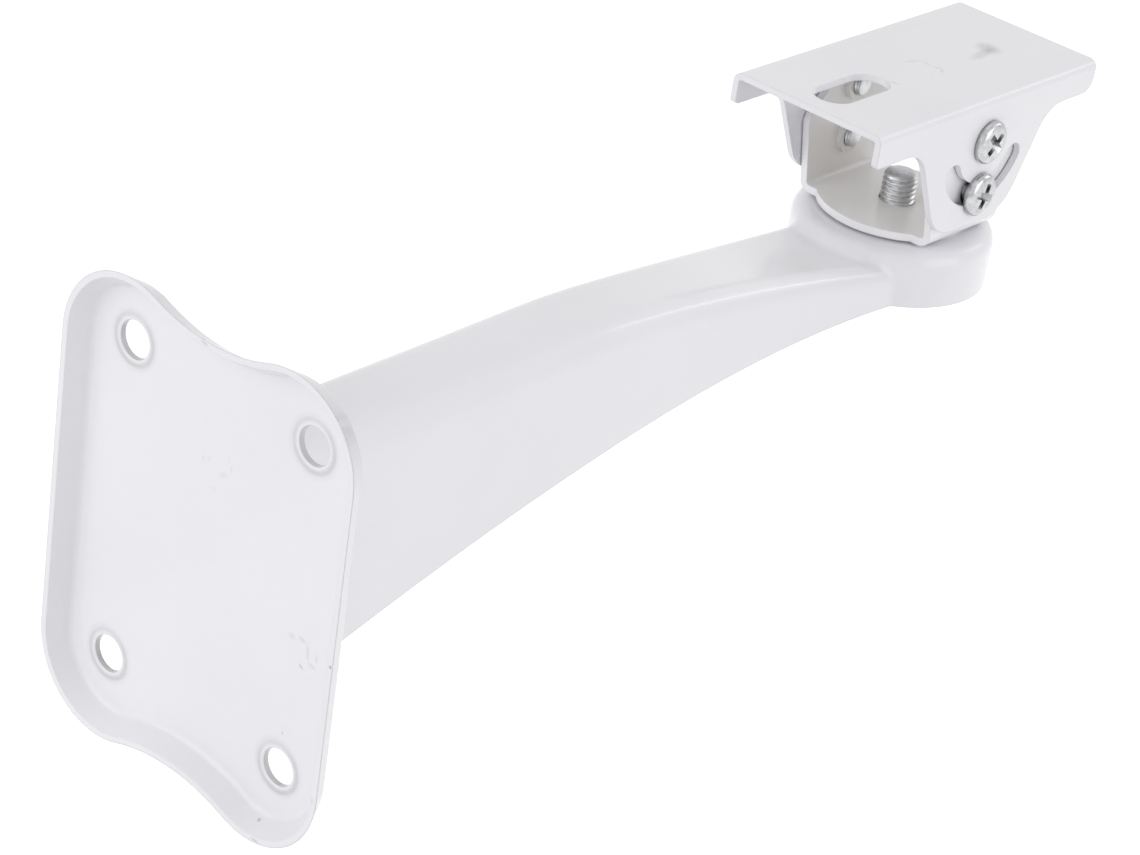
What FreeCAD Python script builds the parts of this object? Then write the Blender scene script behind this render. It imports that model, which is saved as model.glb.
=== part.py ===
import FreeCAD, Part
import math
import os
import Sketcher

# Camera wall bracket: a pressed wall plate, a hollow arm that sweeps out to a round
# boss, and a head of two bent sheet brackets that swivels and tilts on the boss.
# Lengths are in millimetres and angles in degrees. X points out from the wall, Y to the
# right of someone who faces the wall, Z up. The origin is on the wall, at the centre of
# the four screw holes, and heights are measured from it.

SIZES = [
    ("plate_width", 76, "wall plate across its rim"),
    ("plate_height", 98.2, "wall plate, highest to lowest point of the rim"),
    ("plate_hollow", 3.8, "how far the rim dips in at the middle of its top and foot"),
    ("plate_corner", 17.1, "corner radius of the rim"),
    ("plate_depth", 5.7, "from the wall to the plate's front face"),
    ("plate_flare", 30, "angle by which the plate's edge leans outwards"),
    ("plate_bend", 3, "outer radius where the plate's edge is pressed over"),
    ("plate_sheet", 1.2, "sheet of the wall plate"),
    ("wall_hole", 7.5, "diameter of the wall screw holes"),
    ("wall_hole_across", 47, "spacing of the wall screw holes along Y"),
    ("wall_hole_up", 68, "spacing of the wall screw holes along Z"),
    ("wall_hole_edge", 0.4, "rounding of the holes' edges on the wall side"),
    ("arm_top", 23.9, "height of the arm's back at the plate"),
    ("arm_foot", -31.9, "height of the arm's lower edges at the plate"),
    ("arm_width", 21.6, "width of the arm over its straight run"),
    ("arm_wall", 2.2, "thickness of the arm's walls"),
    ("arm_back_share", 0.88, "rounding of the arm's back at the plate, as a share of half its width"),
    ("arm_nose_radius", 3.4, "rounding of the arm's back at the boss"),
    ("arm_flare_start", 105, "distance from the wall where the arm starts to widen"),
    ("arm_flare", 4.2, "how far each side has widened at the boss"),
    ("arm_flare_power", 2.5, "power of the sides' curve"),
    ("arm_dip_start", 99, "distance from the wall where the arm's back starts to fall"),
    ("arm_dip", 10.9, "how far the arm's back has fallen at the boss"),
    ("arm_dip_power", 1.42, "power of the back's curve"),
    ("arm_sweep", 1.72, "power of the lower edges' curve, which flattens towards the boss"),
    ("arm_reach", 0.7, "how far the arm runs into the boss, as a share of the boss's radius"),
    ("arm_boss_blend", 3, "inside radius where the arm runs into the boss"),
    ("pan_axis", 210, "distance from the wall to the swivel axis"),
    ("boss_radius", 22.8, "outer radius of the boss"),
    ("boss_wall", 2.2, "thickness of the boss's skirt"),
    ("boss_foot", 4.5, "height of the skirt's lower edge"),
    ("boss_face", 17.6, "height of the boss's top face"),
    ("boss_web", 3, "thickness of the boss's top"),
    ("boss_edge", 4, "rounding of the boss's top edge"),
    ("seat_radius", 16, "radius of the raised seat that the head turns on"),
    ("seat_height", 0.6, "height of the raised seat"),
    ("yoke_sheet", 1.8, "sheet of the yoke"),
    ("yoke_tab", 24.6, "width of the yoke's ears where they leave the base"),
    ("yoke_ear_width", 31, "greatest width of the yoke's ears"),
    ("yoke_shoulder_drop", 5.6, "from the tilt axis down to the ears' widest place"),
    ("yoke_crown_rise", 7.4, "from the tilt axis up to the top of the ears"),
    ("yoke_crown_width", 7, "width of the ears' top before its corners are rounded"),
    ("yoke_shoulder_radius", 3, "rounding of the ears' shoulders"),
    ("yoke_crown_radius", 5, "rounding of the ears' top corners"),
    ("yoke_bend", 1, "inside radius between the yoke's base and ears"),
    ("collar_radius", 4, "outer radius of the threaded collars inside the ears"),
    ("collar_depth", 1.2, "how far the collars stand in from the ears"),
    ("collar_mouth", 1.4, "rounding of the collars' mouths on the ears' outer side"),
    ("side_gap", 0.3, "gap between the yoke's ears and the camera plate's ears"),
    ("camera_length", 80, "length of the camera plate"),
    ("camera_shift", 1.2, "from the swivel axis to the camera plate's middle, towards the wall"),
    ("camera_width", 39.8, "width of the camera plate"),
    ("camera_sheet", 1.5, "sheet of the camera plate"),
    ("camera_bend", 2, "outer radius of the camera plate's long bends"),
    ("camera_rise", 10.4, "from the tilt axis up to the camera plate's top face"),
    ("flange_depth", 7.3, "depth of the camera plate's long flanges"),
    ("flange_corner", 1, "rounding of the flanges' corners at the wall end"),
    ("flange_far_corner", 3.5, "rounding of the flanges' corners at the far end"),
    ("ear_top_width", 47.2, "width of the camera plate's ears where they leave the flange"),
    ("ear_foot_width", 25.4, "width of those ears at their foot, before rounding"),
    ("ear_drop", 19.9, "from the tilt axis down to the foot of those ears"),
    ("ear_foot_radius", 11, "rounding of those ears' lower corners"),
    ("ear_neck_radius", 8.5, "inside radius between those ears and the flange"),
    ("camera_slot_length", 21.3, "length of the slot for the camera screw"),
    ("camera_slot_width", 9.4, "width of the slot for the camera screw"),
    ("camera_slot_centre", 24.7, "from the camera plate's middle to the middle of the slot"),
    ("tilt_height", 42, "height of the tilt axis"),
    ("lock_drop", 12.5, "from the tilt axis down to the lock screws"),
    ("lock_slot_reach", 62, "reach of the curved slots, each way from straight down"),
    ("lock_slot_gap", 0.2, "gap between a lock screw and each side of its slot"),
    ("screw_radius", 2.5, "shank of the side screws"),
    ("screw_length", 6, "length of the side screws under the head"),
    ("screw_point", 0.5, "chamfer at the side screws' ends"),
    ("screw_head_radius", 5, "radius of the side screws' heads"),
    ("screw_head_height", 2.7, "height of the side screws' heads"),
    ("screw_head_edge", 1.7, "rounding of the side screws' heads"),
    ("recess_span", 5.2, "length of the cross recess, tip to tip"),
    ("recess_width", 1.2, "width of the cross recess's arms"),
    ("recess_depth", 1.6, "depth of the cross recess"),
    ("bolt_radius", 4, "shank of the swivel bolt"),
    ("bolt_length", 16, "length of the swivel bolt under the head"),
    ("bolt_point", 1, "chamfer at the swivel bolt's end"),
    ("bolt_flats", 13, "swivel bolt's head across its flats"),
    ("bolt_head_height", 5.3, "height of the swivel bolt's head"),
    ("bolt_crown", 0.95, "width of the flat on the swivel bolt's head, as a share of its flats"),
    ("bolt_crown_angle", 30, "slope of the bevel round that flat"),
    ("washer_radius", 8, "outer radius of the flat washer"),
    ("washer_sheet", 1.6, "thickness of the flat washer"),
    ("spring_radius", 7.2, "outer radius of the spring washer"),
    ("spring_sheet", 2, "thickness of the spring washer"),
    ("spring_split", 1, "width of the spring washer's split"),
    ("turning_gap", 0.1, "gap around a shank that turns in its hole"),
    ("thread_gap", 0.05, "gap around a shank in its own thread"),
    ("washer_gap", 0.4, "gap between the swivel bolt and its washers"),
]

# Places that several pieces share, as formulas of the sizes
YOKE_FLOOR = "(Sizes.boss_face + Sizes.seat_height)"
YOKE_HALF = "(Sizes.camera_width / 2 - Sizes.camera_sheet - Sizes.side_gap)"
CAMERA_TOP = "(Sizes.tilt_height + Sizes.camera_rise)"
FLANGE_FOOT = f"({CAMERA_TOP} - Sizes.flange_depth)"
LOCK_HEIGHT = "(Sizes.tilt_height - Sizes.lock_drop)"
WEB_FOOT = "(Sizes.boss_face - Sizes.boss_web)"
CAMERA_MIDDLE = "(Sizes.pan_axis - Sizes.camera_shift)"
LOCK_SLOT_HALF = "(Sizes.screw_radius + Sizes.lock_slot_gap)"

ARM_END = "(Sizes.pan_axis - Sizes.boss_radius * Sizes.arm_reach)"
ARM_BACK_RADIUS = "(Sizes.arm_width / 2 * Sizes.arm_back_share)"

ARM_STEPS = 8
LEAST_RADIUS = 0.4
OVERSHOOT = 1
FULL_TURN = 360
DEGREE = math.pi / 180
CLOSE = 0.01

document = FreeCAD.newDocument("camera_wall_bracket")
sheet = document.addObject("Spreadsheet::Sheet", "Sizes")


def fill_sheet():
    for row, (name, value, note) in enumerate(SIZES, 1):
        sheet.set(f"A{row}", note)
        sheet.set(f"B{row}", str(value))
        sheet.setAlias(f"B{row}", name)
    document.recompute()


def number(formula):
    """The present value of a formula of the sizes."""
    return float(sheet.evalExpression(formula))


# Sketching


def new_body(name):
    body = document.addObject("PartDesign::Body", name)
    body.Label = name
    return body


def origin_item(body, role):
    return next(item for item in body.Origin.OriginFeatures if item.Role == role)


def new_sketch(body, name, plane, height="0"):
    """A sketch on one of the body's own planes, moved along that plane's normal."""
    sketch = body.newObject("Sketcher::SketchObject", name)
    sketch.AttachmentSupport = [(origin_item(body, plane), "")]
    sketch.MapMode = "FlatFace"
    sketch.setExpression("AttachmentOffset.Base.z", height)
    return sketch


def dimension(sketch, kind, formula, *places):
    index = sketch.addConstraint(Sketcher.Constraint(kind, *places, number(formula)))
    sketch.setExpression(f"Constraints[{index}]", formula)


def place_point(sketch, item, point, across, up):
    dimension(sketch, "DistanceX", across, item, point)
    dimension(sketch, "DistanceY", up, item, point)


def spot(across, up):
    return FreeCAD.Vector(number(across), number(up), 0)


def vector(across, up):
    return FreeCAD.Vector(across, up, 0)


def rectangle(middle_across, middle_up, half_across, half_up):
    """Corners of a rectangle about a middle point, for draw_polygon."""
    signs = ((-1, -1), (1, -1), (1, 1), (-1, 1))
    return [(f"({middle_across} + {half_across} * {first})", f"({middle_up} + {half_up} * {second})")
            for first, second in signs]


def both_sides(middle, right_side):
    """Corners up the right side and down the left, as mirror images about a middle."""
    right = [(f"({middle} + {across})", up) for across, up in right_side]
    left = [(f"({middle} - {across})", up) for across, up in reversed(right_side)]
    return right + left


def draw_circle(sketch, across, up, radius):
    ring = Part.Circle(spot(across, up), FreeCAD.Vector(0, 0, 1), number(radius))
    item = sketch.addGeometry(ring)
    place_point(sketch, item, 3, across, up)
    dimension(sketch, "Radius", radius, item)


def draw_polygon(sketch, corners):
    """A closed outline of straight edges; each corner is a pair of formulas."""
    spots = [spot(*corner) for corner in corners]
    edges = [Part.LineSegment(here, there) for here, there in zip(spots, spots[1:] + spots[:1])]
    items = [sketch.addGeometry(edge) for edge in edges]
    for item, following, corner in zip(items, items[1:] + items[:1], corners[1:] + corners[:1]):
        sketch.addConstraint(Sketcher.Constraint("Coincident", item, 2, following, 1))
        place_point(sketch, item, 2, *corner)


def draw_arc(sketch, centre, radius, start, end):
    """An arc that runs anticlockwise from the start angle to the end angle."""
    round_edge = Part.Circle(centre, FreeCAD.Vector(0, 0, 1), radius)
    sweep = Part.ArcOfCircle(round_edge, start * DEGREE, end * DEGREE)
    return sketch.addGeometry(sweep)


def join_smoothly(sketch, joints):
    for joint in joints:
        sketch.addConstraint(Sketcher.Constraint("Tangent", *joint))


# Features


def pad(body, name, sketch, length, side="One side", against=False):
    """Add material along the sketch's normal, or against it."""
    feature = body.newObject("PartDesign::Pad", name)
    feature.Profile = sketch
    feature.SideType = side
    feature.Reversed = against
    feature.setExpression("Length", length)
    feature.Refine = True
    document.recompute()
    return feature


def pocket(body, name, sketch, length=None, side="One side", along=False):
    """Cut against the sketch's normal, or along it; with no length, right through."""
    before = body.Tip.Shape.Volume
    feature = body.newObject("PartDesign::Pocket", name)
    feature.Profile = sketch
    feature.SideType = side
    feature.Reversed = along
    if length is None:
        feature.Type = "ThroughAll"
    else:
        feature.setExpression("Length", length)
    feature.Refine = True
    document.recompute()
    if feature.Shape.Volume >= before:
        raise ValueError(f"{body.Label}: {name} cuts nothing")
    return feature


def turned(body, name, sketch, kind="PartDesign::Revolution"):
    """Turn the sketch a full circle about the body's upright axis."""
    feature = body.newObject(kind, name)
    feature.Profile = sketch
    feature.ReferenceAxis = (origin_item(body, "Z_Axis"), [""])
    feature.Angle = FULL_TURN
    document.recompute()
    return feature


def loft(body, name, sketches, kind):
    feature = body.newObject(kind, name)
    feature.Profile = sketches[0]
    feature.Sections = [(sketch, [""]) for sketch in sketches[1:]]
    document.recompute()
    return feature


def mirrored(body, name, originals, plane):
    feature = body.newObject("PartDesign::Mirrored", name)
    feature.Originals = originals
    feature.MirrorPlane = (origin_item(body, plane), [""])
    feature.Refine = True
    body.Tip = feature
    document.recompute()
    return feature


def middle_of(edge):
    return edge.valueAt((edge.FirstParameter + edge.LastParameter) / 2)


def edges_where(feature, test):
    """The names of the edges whose middle point and box pass the test."""
    edges = enumerate(feature.Shape.Edges, 1)
    return [f"Edge{index}" for index, edge in edges if test(middle_of(edge), edge.BoundBox)]


def round_edges(body, name, test, radius):
    base = body.Tip
    feature = body.newObject("PartDesign::Fillet", name)
    feature.Base = (base, edges_where(base, test))
    feature.setExpression("Radius", radius)
    document.recompute()
    return feature


def bevel_edges(body, name, test, size):
    base = body.Tip
    feature = body.newObject("PartDesign::Chamfer", name)
    feature.Base = (base, edges_where(base, test))
    feature.setExpression("Size", size)
    document.recompute()
    return feature


def near(value, target):
    return abs(value - target) < CLOSE


def far_from_axis(point):
    """Distance of a point from the swivel axis."""
    return ((point.x - number("Sizes.pan_axis")) ** 2 + point.y ** 2) ** 0.5


# Wall plate


def draw_plate_rim(sketch, inset):
    """Straight sides, four round corners, and a shallow hollow at the top and bottom."""
    across = "(Sizes.plate_width / 2 - Sizes.plate_corner)"
    up = "(Sizes.plate_height / 2 - Sizes.plate_corner)"
    waist = "(Sizes.plate_height / 2 - Sizes.plate_hollow)"
    fall = f"({waist} - {up})"
    hollow = f"(({across}^2 + {fall}^2 - Sizes.plate_corner^2) / (2 * (Sizes.plate_corner - {fall})))"
    far_up = f"({waist} + {hollow})"
    turn = number(f"atan2({far_up} - {up}; -{across})")
    side = number(f"Sizes.plate_width / 2 - {inset}")
    top = number(up)
    corner = f"Sizes.plate_corner - {inset}"
    hollow = f"{hollow} + {inset}"

    right_side = sketch.addGeometry(Part.LineSegment(vector(side, -top), vector(side, top)))
    left_side = sketch.addGeometry(Part.LineSegment(vector(-side, top), vector(-side, -top)))
    corners = []
    for sign_across, sign_up, start in ((1, 1, 0), (-1, 1, 180 - turn), (-1, -1, 180), (1, -1, -turn)):
        place = (f"{across} * {sign_across}", f"{up} * {sign_up}")
        item = draw_arc(sketch, spot(*place), number(corner), start, start + turn)
        place_point(sketch, item, 3, *place)
        dimension(sketch, "Radius", corner, item)
        corners.append(item)
    hollows = []
    for sign, start, end in ((1, 180 + turn, 360 - turn), (-1, turn, 180 - turn)):
        centre = spot("0", f"{far_up} * {sign}")
        item = draw_arc(sketch, centre, number(hollow), start, end)
        dimension(sketch, "Radius", hollow, item)
        hollows.append(item)

    upper_right, upper_left, lower_left, lower_right = corners
    top_hollow, foot_hollow = hollows
    join_smoothly(sketch, (
        (right_side, 2, upper_right, 1), (upper_right, 2, top_hollow, 2),
        (top_hollow, 1, upper_left, 1), (upper_left, 2, left_side, 1),
        (left_side, 2, lower_left, 1), (lower_left, 2, foot_hollow, 2),
        (foot_hollow, 1, lower_right, 1), (lower_right, 2, right_side, 1),
    ))


def make_wall_plate():
    """A dish pressed from sheet, open towards the wall, with its edge leaning outwards."""
    body = new_body("wall_plate")
    rim = new_sketch(body, "plate_rim", "YZ_Plane")
    draw_plate_rim(rim, "0")
    block = pad(body, "plate_block", rim, "Sizes.plate_depth")
    block.setExpression("TaperAngle", "-Sizes.plate_flare")
    document.recompute()
    front = number("Sizes.plate_depth")
    round_edges(body, "plate_bend", lambda point, box: near(box.XMin, front), "Sizes.plate_bend")

    inner_rim = new_sketch(body, "plate_inner_rim", "YZ_Plane")
    draw_plate_rim(inner_rim, "Sizes.plate_sheet / cos(Sizes.plate_flare)")
    dish = pocket(body, "plate_dish", inner_rim, "Sizes.plate_depth - Sizes.plate_sheet", along=True)
    dish.setExpression("TaperAngle", "-Sizes.plate_flare")
    document.recompute()
    inner = number("Sizes.plate_depth - Sizes.plate_sheet")
    round_edges(body, "plate_inner_bend", lambda point, box: near(box.XMin, inner) and near(box.XMax, inner),
                "Sizes.plate_bend - Sizes.plate_sheet")

    holes = new_sketch(body, "wall_holes", "YZ_Plane", "Sizes.plate_depth")
    for side in (-1, 1):
        for level in (-1, 1):
            across = f"Sizes.wall_hole_across / 2 * {side}"
            draw_circle(holes, across, f"Sizes.wall_hole_up / 2 * {level}", "Sizes.wall_hole / 2")
    pocket(body, "wall_holes_cut", holes)
    size = number("Sizes.wall_hole")
    round_edges(body, "wall_hole_edges",
                lambda point, box: near(box.XMin, inner) and near(box.YLength, size),
                "Sizes.wall_hole_edge")
    return body


# Arm and boss


def arm_section(body, name, distance, wall, below):
    """The arm's outline at a distance from the wall, a wall's thickness inside its skin."""
    run = f"(({distance} - Sizes.plate_depth) / ({ARM_END} - Sizes.plate_depth))"
    flare = f"(max(0; {distance} - Sizes.arm_flare_start) / ({ARM_END} - Sizes.arm_flare_start))"
    dip = f"(max(0; {distance} - Sizes.arm_dip_start) / ({ARM_END} - Sizes.arm_dip_start))"
    half = f"(Sizes.arm_width / 2 + Sizes.arm_flare * pow({flare}; Sizes.arm_flare_power) - {wall})"
    top = f"(Sizes.arm_top - Sizes.arm_dip * pow({dip}; Sizes.arm_dip_power) - {wall})"
    rise = f"(1 - pow(max(0; 1 - {run}); Sizes.arm_sweep))"
    foot = f"(Sizes.arm_foot + (Sizes.boss_foot - Sizes.arm_foot) * {rise} - {below})"
    fall = f"({ARM_BACK_RADIUS} - Sizes.arm_nose_radius)"
    radius = f"max({ARM_BACK_RADIUS} - {fall} * {run} - {wall}; {LEAST_RADIUS})"

    sketch = new_sketch(body, name, "YZ_Plane", distance)
    wide = number(half)
    high = number(top)
    low = number(foot)
    edge = number(radius)
    foot_line = sketch.addGeometry(Part.LineSegment(vector(-wide, low), vector(wide, low)))
    right = sketch.addGeometry(Part.LineSegment(vector(wide, low), vector(wide, high - edge)))
    right_round = draw_arc(sketch, vector(wide - edge, high - edge), edge, 0, 90)
    back = sketch.addGeometry(Part.LineSegment(vector(wide - edge, high), vector(edge - wide, high)))
    left_round = draw_arc(sketch, vector(edge - wide, high - edge), edge, 90, 180)
    left = sketch.addGeometry(Part.LineSegment(vector(-wide, high - edge), vector(-wide, low)))
    join_smoothly(sketch, ((right, 2, right_round, 1), (right_round, 2, back, 1),
                           (back, 2, left_round, 1), (left_round, 2, left, 1)))
    sketch.addConstraint(Sketcher.Constraint("Coincident", left, 2, foot_line, 1))
    sketch.addConstraint(Sketcher.Constraint("Coincident", foot_line, 2, right, 1))
    place_point(sketch, foot_line, 1, f"-{half}", foot)
    place_point(sketch, foot_line, 2, half, foot)
    sketch.addConstraint(Sketcher.Constraint("Vertical", right))
    sketch.addConstraint(Sketcher.Constraint("Vertical", left))
    sketch.addConstraint(Sketcher.Constraint("Horizontal", back))
    dimension(sketch, "DistanceY", top, back, 1)
    dimension(sketch, "Radius", radius, right_round)
    dimension(sketch, "Radius", radius, left_round)
    return sketch


def arm_sections(body, name, start, end, wall, below):
    """Sections at even steps from start to end, carried below the arm's foot if asked."""
    sketches = []
    for step in range(ARM_STEPS + 1):
        distance = f"({start} + ({end} - {start}) * {step} / {ARM_STEPS})"
        sketches.append(arm_section(body, f"{name}_{step}", distance, wall, below))
    document.recompute()
    return sketches


def make_arm():
    """A hollow arm, open below, that runs into a round boss with an open skirt."""
    body = new_body("arm")
    skin = arm_sections(body, "arm_skin", "Sizes.plate_depth", ARM_END, 0, 0)
    loft(body, "arm_solid", skin, "PartDesign::AdditiveLoft")
    rim = new_sketch(body, "boss_rim", "XY_Plane", "Sizes.boss_foot")
    draw_circle(rim, "Sizes.pan_axis", "0", "Sizes.boss_radius")
    pad(body, "boss_solid", rim, "Sizes.boss_face - Sizes.boss_foot")

    radius = number("Sizes.boss_radius")
    face = number("Sizes.boss_face")
    foot = number("Sizes.boss_foot")
    round_edges(body, "boss_blend",
                lambda point, box: near(far_from_axis(point), radius) and box.ZMax < face - CLOSE
                and point.z > foot + CLOSE and box.XMax < number("Sizes.pan_axis"),
                "Sizes.arm_boss_blend")
    round_edges(body, "boss_top_edge",
                lambda point, box: near(box.ZMin, face) and near(far_from_axis(point), radius),
                "Sizes.boss_edge")

    void = arm_sections(body, "arm_void", f"(Sizes.plate_depth - {OVERSHOOT})",
                        f"({ARM_END} + Sizes.boss_wall)", "Sizes.arm_wall", OVERSHOOT)
    loft(body, "arm_hollow", void, "PartDesign::SubtractiveLoft")
    skirt = new_sketch(body, "boss_skirt", "XY_Plane", WEB_FOOT)
    draw_circle(skirt, "Sizes.pan_axis", "0", "Sizes.boss_radius - Sizes.boss_wall")
    pocket(body, "boss_hollow", skirt)

    seat = new_sketch(body, "seat_rim", "XY_Plane", "Sizes.boss_face")
    draw_circle(seat, "Sizes.pan_axis", "0", "Sizes.seat_radius")
    pad(body, "seat", seat, "Sizes.seat_height")
    hole = new_sketch(body, "swivel_hole", "XY_Plane", YOKE_FLOOR)
    draw_circle(hole, "Sizes.pan_axis", "0", "Sizes.bolt_radius + Sizes.turning_gap")
    pocket(body, "swivel_hole_cut", hole)
    return body


# Yoke


def make_yoke():
    """A round base bent up into two ears, which carry the tilt screws."""
    body = new_body("yoke")
    base = new_sketch(body, "yoke_base", "XY_Plane", YOKE_FLOOR)
    draw_circle(base, "Sizes.pan_axis", "0", YOKE_HALF)
    pad(body, "yoke_disc", base, "Sizes.yoke_sheet")
    tabs = new_sketch(body, "yoke_tabs", "XY_Plane", YOKE_FLOOR)
    draw_polygon(tabs, rectangle("Sizes.pan_axis", "0", "Sizes.yoke_tab / 2", YOKE_HALF))
    pad(body, "yoke_tab_strip", tabs, "Sizes.yoke_sheet")

    ear = new_sketch(body, "yoke_ear", "XZ_Plane", YOKE_HALF)
    side = [("Sizes.yoke_tab / 2", YOKE_FLOOR),
            ("Sizes.yoke_tab / 2", f"({YOKE_FLOOR} + Sizes.yoke_sheet + Sizes.yoke_bend)"),
            ("Sizes.yoke_ear_width / 2", "(Sizes.tilt_height - Sizes.yoke_shoulder_drop)"),
            ("Sizes.yoke_crown_width / 2", "(Sizes.tilt_height + Sizes.yoke_crown_rise)")]
    draw_polygon(ear, both_sides("Sizes.pan_axis", side))
    left_ear = pad(body, "yoke_ear_pad", ear, "Sizes.yoke_sheet", against=True)
    mirrored(body, "yoke_ears", [left_ear], "XZ_Plane")

    collars = new_sketch(body, "yoke_collars", "XZ_Plane", f"{YOKE_HALF} - Sizes.yoke_sheet")
    for height in ("Sizes.tilt_height", LOCK_HEIGHT):
        draw_circle(collars, "Sizes.pan_axis", height, "Sizes.collar_radius")
    left_collars = pad(body, "yoke_collar_pads", collars, "Sizes.collar_depth", against=True)
    mirrored(body, "yoke_collar_pairs", [left_collars], "XZ_Plane")

    shoulder = number("Sizes.tilt_height - Sizes.yoke_shoulder_drop")
    crown = number("Sizes.tilt_height + Sizes.yoke_crown_rise")
    floor = number(YOKE_FLOOR)
    half = number(YOKE_HALF)
    top = number(f"{YOKE_FLOOR} + Sizes.yoke_sheet")
    inner = number(f"{YOKE_HALF} - Sizes.yoke_sheet")
    round_edges(body, "yoke_shoulders",
                lambda point, box: near(box.ZLength, 0) and near(point.z, shoulder) and box.XLength < CLOSE,
                "Sizes.yoke_shoulder_radius")
    round_edges(body, "yoke_crowns",
                lambda point, box: near(box.ZLength, 0) and near(point.z, crown) and box.XLength < CLOSE,
                "Sizes.yoke_crown_radius")
    round_edges(body, "yoke_inner_bends",
                lambda point, box: near(box.ZMax, top) and near(box.ZMin, top)
                and near(abs(point.y), inner) and near(box.YLength, 0),
                "Sizes.yoke_bend")
    round_edges(body, "yoke_outer_bends",
                lambda point, box: near(box.ZMax, floor) and near(abs(point.y), half)
                and near(box.YLength, 0),
                "Sizes.yoke_bend + Sizes.yoke_sheet")

    threads = new_sketch(body, "yoke_threads", "XZ_Plane")
    for height in ("Sizes.tilt_height", LOCK_HEIGHT):
        draw_circle(threads, "Sizes.pan_axis", height, "Sizes.screw_radius + Sizes.thread_gap")
    pocket(body, "yoke_threads_cut", threads, side="Symmetric")
    thread = number("(Sizes.screw_radius + Sizes.thread_gap) * 2")
    round_edges(body, "yoke_collar_mouths",
                lambda point, box: near(abs(point.y), half) and near(box.YLength, 0)
                and near(box.ZLength, thread) and near(box.XLength, thread),
                "Sizes.collar_mouth")
    swivel = new_sketch(body, "yoke_swivel_thread", "XY_Plane", f"{YOKE_FLOOR} + Sizes.yoke_sheet")
    draw_circle(swivel, "Sizes.pan_axis", "0", "Sizes.bolt_radius + Sizes.thread_gap")
    pocket(body, "yoke_swivel_cut", swivel)
    return body


# Camera plate


def draw_slot(sketch, middle, half_length, half_width):
    """A straight slot along the sketch's first axis, with round ends."""
    reach = f"({half_length} - {half_width})"
    places = [(f"({middle} + {reach} * {sign})", "0") for sign in (1, -1)]
    round_end = number(half_width)
    far, close_end = (spot(*place) for place in places)
    up = vector(0, round_end)
    ends = [draw_arc(sketch, far, round_end, -90, 90), draw_arc(sketch, close_end, round_end, 90, 270)]
    upper = sketch.addGeometry(Part.LineSegment(far + up, close_end + up))
    lower = sketch.addGeometry(Part.LineSegment(close_end - up, far - up))
    join_smoothly(sketch, ((ends[0], 2, upper, 1), (upper, 2, ends[1], 1),
                           (ends[1], 2, lower, 1), (lower, 2, ends[0], 1)))
    for end, place in zip(ends, places):
        place_point(sketch, end, 3, *place)
        dimension(sketch, "Radius", half_width, end)


def draw_lock_slot(sketch):
    """A curved slot about the tilt axis, with round ends, centred straight below it."""
    reach = number("Sizes.lock_slot_reach")
    run = number("Sizes.lock_drop")
    half = number(LOCK_SLOT_HALF)
    centre = spot("Sizes.pan_axis", "Sizes.tilt_height")
    down = 270
    inner = draw_arc(sketch, centre, run - half, down - reach, down + reach)
    outer = draw_arc(sketch, centre, run + half, down - reach, down + reach)
    for item, sign in ((inner, "-"), (outer, "+")):
        place_point(sketch, item, 3, "Sizes.pan_axis", "Sizes.tilt_height")
        dimension(sketch, "Radius", f"Sizes.lock_drop {sign} {LOCK_SLOT_HALF}", item)
    caps = []
    for sign in (1, -1):
        turn = down + reach * sign
        start = turn if sign > 0 else turn + 180
        middle = centre + FreeCAD.Vector(run * math.cos(turn * DEGREE), run * math.sin(turn * DEGREE), 0)
        cap = draw_arc(sketch, middle, half, start, start + 180)
        sideways = f"Sizes.lock_drop * sin(Sizes.lock_slot_reach) * {sign}"
        dimension(sketch, "DistanceX", f"Sizes.pan_axis + {sideways}", cap, 3)
        caps.append(cap)
    join_smoothly(sketch, ((outer, 2, caps[0], 1), (caps[0], 2, inner, 2),
                           (inner, 1, caps[1], 1), (caps[1], 2, outer, 1)))


def round_corners(body, name, height, distance, radius):
    """Round the edges across the sheet at a height, and at a distance from the wall if given."""
    round_edges(body, name,
                lambda point, box: near(box.ZMin, height) and near(box.ZMax, height)
                and near(box.XLength, 0) and (distance is None or near(point.x, distance)),
                radius)


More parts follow.
